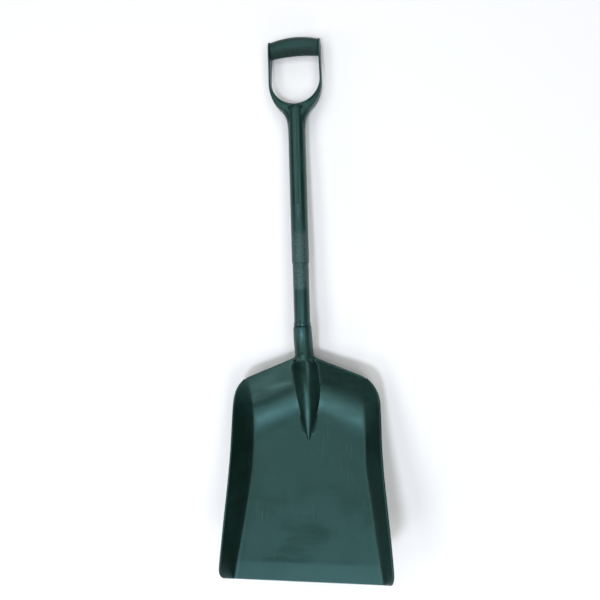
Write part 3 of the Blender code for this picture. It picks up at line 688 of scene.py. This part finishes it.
def make_barrel():
    """The sleeve's round outside with fine raised ribs across its front, up to the crotch."""
    ribbed_start, ribbed_end = RIBBED_RUN
    heights = [SLEEVE_START, SLEEVE_START + SLEEVE_CHAMFER]
    heights += spaced(
        (SLEEVE_START + 2.4 * SLEEVE_CHAMFER, ribbed_start, 8),
        (ribbed_start, ribbed_end, 216),
        (ribbed_end, BARREL_CROWN, 50),
    )
    rings = []
    for height in heights:
        radius = SLEEVE_RADIUS - (SLEEVE_CHAMFER if height == SLEEVE_START else 0.0)
        radius += BARREL_FLARE * smoothstep((height - BARREL_FLARE_START) / BARREL_FLARE_LENGTH)
        rib = RIB_HEIGHT * rib_share(height)
        ring = []
        for point in circle(height, radius, BARREL_SIDES):
            aside = abs(math.atan2(point.x, -point.y))
            grow = 1.0 + rib * smoothstep((RIB_SPREAD - aside) / RIB_SPREAD_FADE) / radius
            ring.append(Vector((point.x * grow, point.y * grow, height)))
        rings.append(ring)
    for angle in BARREL_CROWN_ANGLES:
        turn = math.radians(angle)
        height = BARREL_CROWN + (BARREL_TOP - BARREL_CROWN) * math.sin(turn)
        radius = (SLEEVE_RADIUS + BARREL_FLARE) * math.sqrt(math.cos(turn))
        rings.append(circle(height, radius, BARREL_SIDES))
    return loft(rings)


def make_web():
    """The flare on both sides of the barrel, thinner than it, from front to back."""
    rings = []
    for height, wide, deep in curve_through([Vector(section) for section in WEB_SECTIONS], WEB_STEPS):
        centre = Vector((0, 0, height))
        half_width, half_depth = Vector((wide, 0, 0)), Vector((0, deep, 0))
        rings.append(oval(centre, half_width, half_depth, WEB_SQUARENESS, BOW_SIDES))
    return loft(rings)


def arm_half_breadth(height):
    crotch = YOKE_OUTER_CENTRE - YOKE_OUTER_DEPTH
    if height < YOKE_INNER_CENTRE:
        fall = smoothstep((height - crotch) / (YOKE_INNER_CENTRE - crotch))
        return WEB_DEPTH + (ARM_HALF_BREADTH - WEB_DEPTH) * fall
    grow = smoothstep((height - YOKE_INNER_CENTRE) / (GRIP_HEIGHT - YOKE_INNER_CENTRE))
    return ARM_HALF_BREADTH + (EYE_HALF_BREADTH - ARM_HALF_BREADTH) * grow


def arm_station(height, half_breadth, squareness):
    """A cross-section of an arm: its two edges, half breadth, squareness and share of pocket."""
    along = (height - YOKE_INNER_CENTRE) / (GRIP_HEIGHT - YOKE_INNER_CENTRE)
    lean = ARM_LEAN * min(max(along, 0.0), 1.0)
    inner = Vector((YOKE_INNER_HALF_WIDTH - lean, 0.0, height))
    outer = Vector((YOKE_OUTER_HALF_WIDTH - lean, 0.0, height))
    return inner, outer, half_breadth, squareness, 0.0


def crotch_station(angle):
    """The same for the crotch, at an angle from its middle."""
    across, down = math.sin(angle), math.cos(angle)
    inner_z = YOKE_INNER_CENTRE - YOKE_INNER_DEPTH * down
    outer_z = YOKE_OUTER_CENTRE - YOKE_OUTER_DEPTH * down
    inner = Vector((YOKE_INNER_HALF_WIDTH * across, 0.0, inner_z))
    outer = Vector((YOKE_OUTER_HALF_WIDTH * across, 0.0, outer_z))
    squareness = CROTCH_SQUARENESS + (CROTCH_MIDDLE_SQUARENESS - CROTCH_SQUARENESS) * down
    pocket = smoothstep(((outer - inner).length - POCKET_LEAST_BAND) / POCKET_BAND_FADE)
    return inner, outer, arm_half_breadth((inner_z + outer_z) / 2.0), squareness, pocket


def bow_stations():
    """The right half's cross-sections, from the top of the eye down to the crotch's middle."""
    stations = []
    for angle in spaced((EYE_TOP_ANGLE, 0.0, 14))[:-1]:
        turn = math.radians(angle)
        height = GRIP_HEIGHT + EYE_HALF_HEIGHT * math.sin(turn)
        station = arm_station(height, EYE_HALF_BREADTH * math.cos(turn), ARM_SQUARENESS)
        shoulder = (math.sin(turn) - EYE_SHOULDER_START) / (1.0 - EYE_SHOULDER_START)
        station[1].x -= EYE_SHOULDER * smoothstep(shoulder)
        stations.append(station)
    for height in spaced((GRIP_HEIGHT, YOKE_INNER_CENTRE, 20))[:-1]:
        along = (GRIP_HEIGHT - height) / (GRIP_HEIGHT - YOKE_INNER_CENTRE)
        squareness = ARM_SQUARENESS + (CROTCH_SQUARENESS - ARM_SQUARENESS) * along
        stations.append(arm_station(height, arm_half_breadth(height), squareness))
    for angle in spaced((0.5 * math.pi, 0.0, 36)):
        stations.append(crotch_station(angle))
    return stations


def make_bow():
    """The crotch and both arms in one sweep, with a shallow pocket in the crotch's face."""
    right = bow_stations()
    sided = [(1.0, station) for station in right]
    sided += [(-1.0, station) for station in reversed(right[:-1])]
    rings = []
    for side, (inner, outer, half_breadth, squareness, share) in sided:
        near = Vector((side * inner.x, 0.0, inner.z))
        far = Vector((side * outer.x, 0.0, outer.z))
        across = far - near
        depth = Vector((0, half_breadth, 0))
        ring = oval((near + far) / 2.0, across / 2.0, depth, squareness, BOW_SIDES)
        for point in ring:
            at = (point - near).dot(across) / across.length_squared
            pocket = smoothstep((at - POCKET_START) / POCKET_START_FADE)
            pocket *= smoothstep((POCKET_END - at) / POCKET_END_FADE)
            point.y *= 1.0 - POCKET_DEPTH * share * pocket
        rings.append(ring)
    return loft(rings)


def make_bore():
    """What the sleeve is hollowed with: the tube's bore, a shoulder over the plug and a core."""
    shoulder = TUBE_END + PLUG_HEAD + SLEEVE_SHOULDER_ROOM
    core_tip = SLEEVE_CORE_END + SLEEVE_CORE_TIP_LENGTH
    return loft(
        [
            circle(SLEEVE_START - CUTTER_OVERRUN, SLEEVE_BORE_RADIUS),
            circle(shoulder, SLEEVE_BORE_RADIUS),
            circle(shoulder + SLEEVE_SHOULDER_LENGTH, SLEEVE_CORE_RADIUS),
            circle(SLEEVE_CORE_END, SLEEVE_CORE_RADIUS),
            circle(core_tip, SLEEVE_CORE_TIP_SHARE * SLEEVE_CORE_RADIUS),
        ]
    )


def make_screw_hole():
    """A countersunk hole along -Z, for a screw whose head's face is at 0."""
    return loft(
        [
            circle(-SCREW_HOLE_DEPTH, SCREW_SHANK_RADIUS + GAP),
            circle(-SCREW_HEAD_HEIGHT - GAP, SCREW_SHANK_RADIUS + GAP),
            circle(-GAP, SCREW_HEAD_RADIUS + GAP),
            circle(SCREW_HEAD_RADIUS, SCREW_HEAD_RADIUS + GAP),
        ]
    )


def screw_places():
    """Where the heads of the sleeve's screw and of the two at the eyes sit."""
    back = Matrix.Rotation(-0.5 * math.pi, 4, "X")
    places = [Matrix.Translation((0, SLEEVE_RADIUS - SCREW_SINK, SLEEVE_SCREW_HEIGHT)) @ back]
    for side in (-1.0, 1.0):
        turn = Matrix.Rotation(side * 0.5 * math.pi, 4, "Y")
        face = side * (YOKE_OUTER_HALF_WIDTH - ARM_LEAN - SCREW_SINK)
        places.append(Matrix.Translation((face, 0, GRIP_HEIGHT)) @ turn)
    return places


def make_yoke():
    """The sleeve, web, crotch and arms, in the shaft frame."""
    barrel = make_barrel()
    bow = make_bow()
    for shape in (barrel, bow):
        bmesh.ops.recalc_face_normals(shape, faces=shape.faces)
    barrel_tree = BVHTree.FromBMesh(barrel)
    bow_tree = BVHTree.FromBMesh(bow)
    yoke = mesh_object("handle_moulding", barrel)
    combine(yoke, mesh_object("web", make_web()))
    combine(yoke, mesh_object("bow", bow))
    fillet(yoke, barrel_tree, bow_tree, YOKE_FILLET)
    combine(yoke, mesh_object("bore", make_bore()), "DIFFERENCE")
    for place in screw_places():
        combine(yoke, mesh_object("screw_hole", make_screw_hole(), place), "DIFFERENCE")
    return yoke


def make_grip():
    """The bar between the eyes, arched away from the hand, with two fine grooves at each end."""
    half_length = YOKE_INNER_HALF_WIDTH - ARM_LEAN - GAP
    rings = []
    for i in range(GRIP_STEPS + 1):
        across = 2.0 * i / GRIP_STEPS - 1.0
        arch = 1.0 - across * across
        centre = Vector((across * half_length, 0.0, GRIP_HEIGHT + GRIP_ARCH * arch))
        swell = GRIP_END_SHARE + (1.0 - GRIP_END_SHARE) * arch
        from_end = (1.0 - abs(across)) * half_length
        for groove in GRIP_GROOVES:
            near_groove = 1.0 - abs(from_end - groove) / GRIP_GROOVE_HALF_WIDTH
            swell -= GRIP_GROOVE_SHARE * smoothstep(near_groove)
        tall = Vector((0, 0, GRIP_HALF_HEIGHT * swell))
        deep = Vector((0, GRIP_HALF_BREADTH * swell, 0))
        rings.append(oval(centre, tall, deep, sides=GRIP_SIDES))
    return mesh_object("grip_moulding", loft(rings))


# ---------------------------------------------------------------------------------------------
# Materials
# ---------------------------------------------------------------------------------------------

GREEN = (0.0058, 0.0175, 0.0134)
# Pale scuff colour, lighter than wear alone, so that the scuffs also stand in for a painted
# highlight.
SCUFF_AND_HIGHLIGHT = (0.055, 0.080, 0.076)
# Dark colour of the painted shade on the grip's lower half, with a brownish grime tint.
SHADE_AND_GRIME = (0.0095, 0.0100, 0.0072)
# Specular tint: a painted reflection colour that turns the plastic's reflections bluish green,
# standing in for bluish light in the highlights.
TINT = (0.42, 0.95, 0.94, 1.0)
GLOSS = 0.75
BRIGHT_STEEL = (0.45, 0.45, 0.44, 1.0)
STAINED_STEEL = (0.28, 0.27, 0.25, 1.0)

# Noise scales per metre, and stretches of noise that is finer across one axis than another.
CLOUD_SCALE = 11.0
PATCH_SCALE = 16.0
SPECK_SCALE = 160.0
SPOT_SCALE = 210.0
STAIN_SCALE = 900.0
PEBBLE_SCALE = 1500.0
FLOW_STRETCHES = {"X": (9.0, 70.0, 9.0), "Y": (70.0, 9.0, 9.0)}
SCRATCH_STRETCH = (330.0, 14.0, 14.0)
PEBBLE_HEIGHT = 0.0004

# How gradually a stretch of wear and painted highlight starts and ends.
WORN_HIGHLIGHT_START_FADE = 0.004
WORN_HIGHLIGHT_END_FADE = 0.010


class Nodes:
    """Adds nodes to a material's tree and links them up."""

    def __init__(self, material):
        self.tree = material.node_tree

    def set_input(self, node, key, value):
        if isinstance(value, bpy.types.NodeSocket):
            self.tree.links.new(value, node.inputs[key])
        else:
            node.inputs[key].default_value = value

    def add(self, kind, inputs=(), **settings):
        node = self.tree.nodes.new(kind)
        for key, value in settings.items():
            setattr(node, key, value)
        for key, value in inputs:
            self.set_input(node, key, value)
        return node

    def noise(self, place, scale, detail=3.0, stretch=(1.0, 1.0, 1.0), offset=(0.0, 0.0, 0.0)):
        """A noise between 0 and 1, stretched along the axes."""
        inputs = [("Vector", place), ("Scale", stretch), ("Location", offset)]
        stretched = self.add("ShaderNodeMapping", inputs).outputs[0]
        inputs = [("Vector", stretched), ("Scale", scale), ("Detail", detail), ("Roughness", 0.6)]
        return self.add("ShaderNodeTexNoise", inputs).outputs["Fac"]

    def ramp(self, value, low, high, to_low=0.0, to_high=1.0):
        """The value's run from low to high, smoothly turned into one from to_low to to_high."""
        inputs = [("Value", value), ("From Min", low), ("From Max", high)]
        inputs += [("To Min", to_low), ("To Max", to_high)]
        return self.add("ShaderNodeMapRange", inputs, interpolation_type="SMOOTHSTEP").outputs[0]

    def math(self, operation, first, second):
        inputs = [(0, first), (1, second)]
        return self.add("ShaderNodeMath", inputs, operation=operation).outputs[0]

    def times(self, first, second):
        return self.math("MULTIPLY", first, second)

    def plus(self, first, second):
        return self.math("ADD", first, second)

    def mix(self, share, first, second):
        """A mix of two colours."""
        inputs = [(0, share), (6, first), (7, second)]
        return self.add("ShaderNodeMix", inputs, data_type="RGBA").outputs[2]


def worn_and_highlight_stretch(nodes, place, along_y, run):
    """A share of wear and painted highlight that is high, and spotty, along a run of Y."""
    low, high = run
    start = nodes.ramp(along_y, low - WORN_HIGHLIGHT_START_FADE, low + WORN_HIGHLIGHT_START_FADE)
    end = nodes.ramp(along_y, high + WORN_HIGHLIGHT_END_FADE, high - WORN_HIGHLIGHT_END_FADE)
    spots = nodes.noise(place, SPOT_SCALE, 4.0, offset=(0.3, 0.0, 0.0))
    return nodes.times(nodes.times(start, end), nodes.ramp(spots, 0.36, 0.60, 0.25, 0.85))


def plastic(
    name,
    rough=0.40,
    mottle=0.12,
    scuffs=0.5,
    grain=0.05,
    flow_along="Y",
    worn_and_highlight_run=None,
    shade_and_grime_run=None,
):
    """Moulded polypropylene: cloudy pigment, faint flow streaks, pale scuffs lightened further as a
    painted highlight, and a fine grain.

    worn_and_highlight_run is a stretch along Y that use has rubbed pale, lightened further as a
    painted highlight, and shade_and_grime_run one over which clean plastic gives way to painted shade
    with a brownish grime tint.
    """
    material = bpy.data.materials.new(name)
    material.use_nodes = True
    nodes = Nodes(material)
    shader = material.node_tree.nodes["Principled BSDF"]
    place = nodes.add("ShaderNodeTexCoord").outputs["Object"]
    along_y = nodes.add("ShaderNodeSeparateXYZ", [("Vector", place)]).outputs["Y"]
    clouds = nodes.noise(place, CLOUD_SCALE, 5.0)
    specks = nodes.noise(place, SPECK_SCALE, 2.0)
    flow = nodes.noise(place, 1.0, stretch=FLOW_STRETCHES[flow_along])

    shade = nodes.ramp(clouds, 0.38, 0.62, 1.0 - mottle, 1.0 + mottle)
    fine = nodes.ramp(specks, 0.35, 0.65, 1.0 - 0.5 * mottle, 1.0 + 0.5 * mottle)
    streaks = nodes.ramp(flow, 0.36, 0.64, 1.0 - 0.4 * mottle, 1.0 + 0.4 * mottle)
    depth = nodes.times(nodes.times(shade, fine), streaks)
    pigment = nodes.add("ShaderNodeVectorMath", [(0, GREEN), (1, depth)], operation="MULTIPLY")

    scratches = nodes.noise(place, 1.0, 2.0, SCRATCH_STRETCH, (3.1, 0.7, 0.0))
    patches = nodes.noise(place, PATCH_SCALE, offset=(5.0, 2.0, 1.0))
    wear_and_highlight = nodes.times(nodes.ramp(scratches, 0.60, 0.74), nodes.ramp(patches, 0.50, 0.66))
    wear_and_highlight = nodes.times(wear_and_highlight, scuffs)
    # A stretch along Y of wear lightened further as a painted highlight on the tube and the sleeve.
    if worn_and_highlight_run:
        wear_and_highlight = nodes.math("MAXIMUM", wear_and_highlight, worn_and_highlight_stretch(nodes, place, along_y, worn_and_highlight_run))
    colour = nodes.mix(wear_and_highlight, pigment.outputs[0], (*SCUFF_AND_HIGHLIGHT, 1.0))
    sheen = nodes.ramp(clouds, 0.38, 0.62, rough - 0.05, rough + 0.05)
    sheen = nodes.plus(sheen, nodes.ramp(flow, 0.3, 0.7, -0.04, 0.04))
    sheen = nodes.plus(sheen, nodes.times(wear_and_highlight, 0.15))
    # Painted shade: towards lower Y, over the grip's lower half, the plastic turns brownish dark and
    # rougher.
    if shade_and_grime_run:
        shade_and_grime = nodes.times(nodes.ramp(along_y, *shade_and_grime_run), nodes.ramp(specks, 0.3, 0.6, 0.7, 1.0))
        colour = nodes.mix(shade_and_grime, colour, (*SHADE_AND_GRIME, 1.0))
        sheen = nodes.plus(sheen, nodes.times(shade_and_grime, 0.35))
    nodes.set_input(shader, "Base Color", colour)
    nodes.set_input(shader, "Roughness", sheen)
    nodes.set_input(shader, "Specular IOR Level", GLOSS)
    nodes.set_input(shader, "Specular Tint", TINT)

    height = nodes.plus(nodes.noise(place, PEBBLE_SCALE, 2.0), nodes.times(flow, 2.0))
    inputs = [("Strength", grain), ("Distance", PEBBLE_HEIGHT), ("Height", height)]
    nodes.set_input(shader, "Normal", nodes.add("ShaderNodeBump", inputs).outputs[0])
    return material


def steel(name):
    """Stainless steel with faint stains."""
    material = bpy.data.materials.new(name)
    material.use_nodes = True
    nodes = Nodes(material)
    shader = material.node_tree.nodes["Principled BSDF"]
    place = nodes.add("ShaderNodeTexCoord").outputs["Object"]
    stains = nodes.noise(place, STAIN_SCALE)
    colour = nodes.mix(nodes.ramp(stains, 0.4, 0.7), BRIGHT_STEEL, STAINED_STEEL)
    nodes.set_input(shader, "Base Color", colour)
    nodes.set_input(shader, "Roughness", nodes.ramp(stains, 0.3, 0.7, 0.28, 0.45))
    nodes.set_input(shader, "Metallic", 1.0)
    return material


# ---------------------------------------------------------------------------------------------
# The pieces
# ---------------------------------------------------------------------------------------------

CAD_SHARP_ANGLE = 40.0
FINE_SHARP_ANGLE = 50.0


def dress(obj, material, sharp_angle=CAD_SHARP_ANGLE):
    """Shades the piece smoothly and gives it this material only."""
    obj.data.shade_smooth()
    obj.data.set_sharp_from_angle(angle=math.radians(sharp_angle))
    obj.data.materials.clear()
    obj.data.materials.append(material)


def stand_in(obj, node, material):
    """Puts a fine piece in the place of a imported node."""
    dress(obj, material, FINE_SHARP_ANGLE)
    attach(obj, "root")
    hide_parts(node)


blade_green = plastic("blade_green", mottle=0.14, flow_along="X")
# The worn stretches on the tube and the sleeve are partly wear and partly a painted highlight along
# the shaft.
tube_green = plastic("tube_green", rough=0.34, mottle=0.10, scuffs=0.7, worn_and_highlight_run=(0.035, 0.090))
yoke_green = plastic(
    "yoke_green", rough=0.37, mottle=0.20, scuffs=0.8, grain=0.08, worn_and_highlight_run=(0.090, 0.155)
)
grip_green = plastic(
    "grip_green",
    rough=0.44,
    mottle=0.16,
    scuffs=0.4,
    grain=0.10,
    flow_along="X",
    # Painted shade, with a brownish grime tint, over the grip's lower half.
    shade_and_grime_run=(0.556, 0.540),
)
plug_green = plastic("plug_green", rough=0.55)
screw_metal = steel("screw_metal")

blade = make_blade()
yoke = make_yoke()
grip = make_grip()
yoke.data.transform(SHAFT)
grip.data.transform(SHAFT)
stand_in(blade, "blade", blade_green)
stand_in(yoke, "handle_yoke", yoke_green)
stand_in(grip, "grip_bar", grip_green)
kept = {"neck_collar": tube_green, "shaft_tube": tube_green, "tube_plug": plug_green}
for name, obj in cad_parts.items():
    if name in kept:
        dress(obj, kept[name])
    elif "screw" in name:
        dress(obj, screw_metal)


# ---------------------------------------------------------------------------------------------
# Floor, camera and light
# ---------------------------------------------------------------------------------------------

FLOOR_SIZE = 12.0
FLOOR_GREY = (0.94, 0.94, 0.94, 1.0)
BACKDROP = (0.9, 0.95, 1.0, 1.0)
BACKDROP_STRENGTH = 0.05

# Soft round lights on a dome round a target: elevation, azimuth from the blade's lip towards the
# right, size, watts and colour.
LIGHT_TARGET = Vector((0.0, -0.15, 0.05))
LIGHT_DISTANCE = 4.5
NEUTRAL = (1.0, 1.0, 0.98)
BLUISH = (0.84, 0.89, 1.0)
LIGHTS = {
    "overhead": (73, 335, 0.8, 72, BLUISH),
    "zenith": (84, 110, 0.5, 12, BLUISH),
    "right_high": (60, 45, 1.7, 34, NEUTRAL),
    "right": (57, 90, 1.7, 13, NEUTRAL),
    "right_back": (57, 135, 1.7, 19, NEUTRAL),
    "back_high": (62, 200, 1.5, 16, NEUTRAL),
    "back": (32, 180, 1.7, 22, NEUTRAL),
    "left_back": (48, 235, 1.7, 17, NEUTRAL),
    "left": (57, 270, 1.7, 20, NEUTRAL),
    "left_front": (50, 315, 1.7, 30, NEUTRAL),
    "low_front": (23, 14, 1.7, 28, NEUTRAL),
    "low_left": (22, 280, 1.7, 23, NEUTRAL),
    "low_right": (22, 90, 1.7, 3, NEUTRAL),
}


def add_floor():
    bpy.ops.mesh.primitive_plane_add(size=FLOOR_SIZE)
    floor = bpy.context.object
    floor.name = "floor"
    paint = bpy.data.materials.new("floor_paint")
    paint.use_nodes = True
    shader = paint.node_tree.nodes["Principled BSDF"]
    shader.inputs["Base Color"].default_value = FLOOR_GREY
    shader.inputs["Roughness"].default_value = 0.9
    floor.data.materials.append(paint)


def add_camera():
    lens = bpy.data.cameras.new("camera")
    lens.lens = LENS
    lens.sensor_width = SENSOR
    camera = bpy.data.objects.new("camera", lens)
    bpy.context.scene.collection.objects.link(camera)
    turn = Matrix.Rotation(CAMERA_TURN.length, 4, CAMERA_TURN.normalized()).inverted()
    camera.matrix_world = PAN @ Matrix.Translation(CAMERA_PLACE) @ turn
    bpy.context.scene.camera = camera


def add_light(name, elevation, azimuth, size, watts, colour):
    light = bpy.data.lights.new(name, "AREA")
    light.shape = "DISK"
    light.size = size
    light.energy = watts
    light.color = colour
    lamp = bpy.data.objects.new(name, light)
    bpy.context.scene.collection.objects.link(lamp)
    up, aside = math.radians(elevation), math.radians(azimuth)
    way = Vector((math.cos(up) * math.sin(aside), -math.cos(up) * math.cos(aside), math.sin(up)))
    lamp.location = LIGHT_TARGET + LIGHT_DISTANCE * way
    lamp.rotation_mode = "QUATERNION"
    lamp.rotation_quaternion = (-way).to_track_quat("-Z", "Y")


def add_backdrop():
    world = bpy.data.worlds.new("world")
    world.use_nodes = True
    backdrop = world.node_tree.nodes["Background"]
    backdrop.inputs["Color"].default_value = BACKDROP
    backdrop.inputs["Strength"].default_value = BACKDROP_STRENGTH
    bpy.context.scene.world = world


add_floor()
add_camera()
for light_name, settings in LIGHTS.items():
    add_light(light_name, *settings)
add_backdrop()
bpy.context.scene.view_settings.view_transform = "Standard"
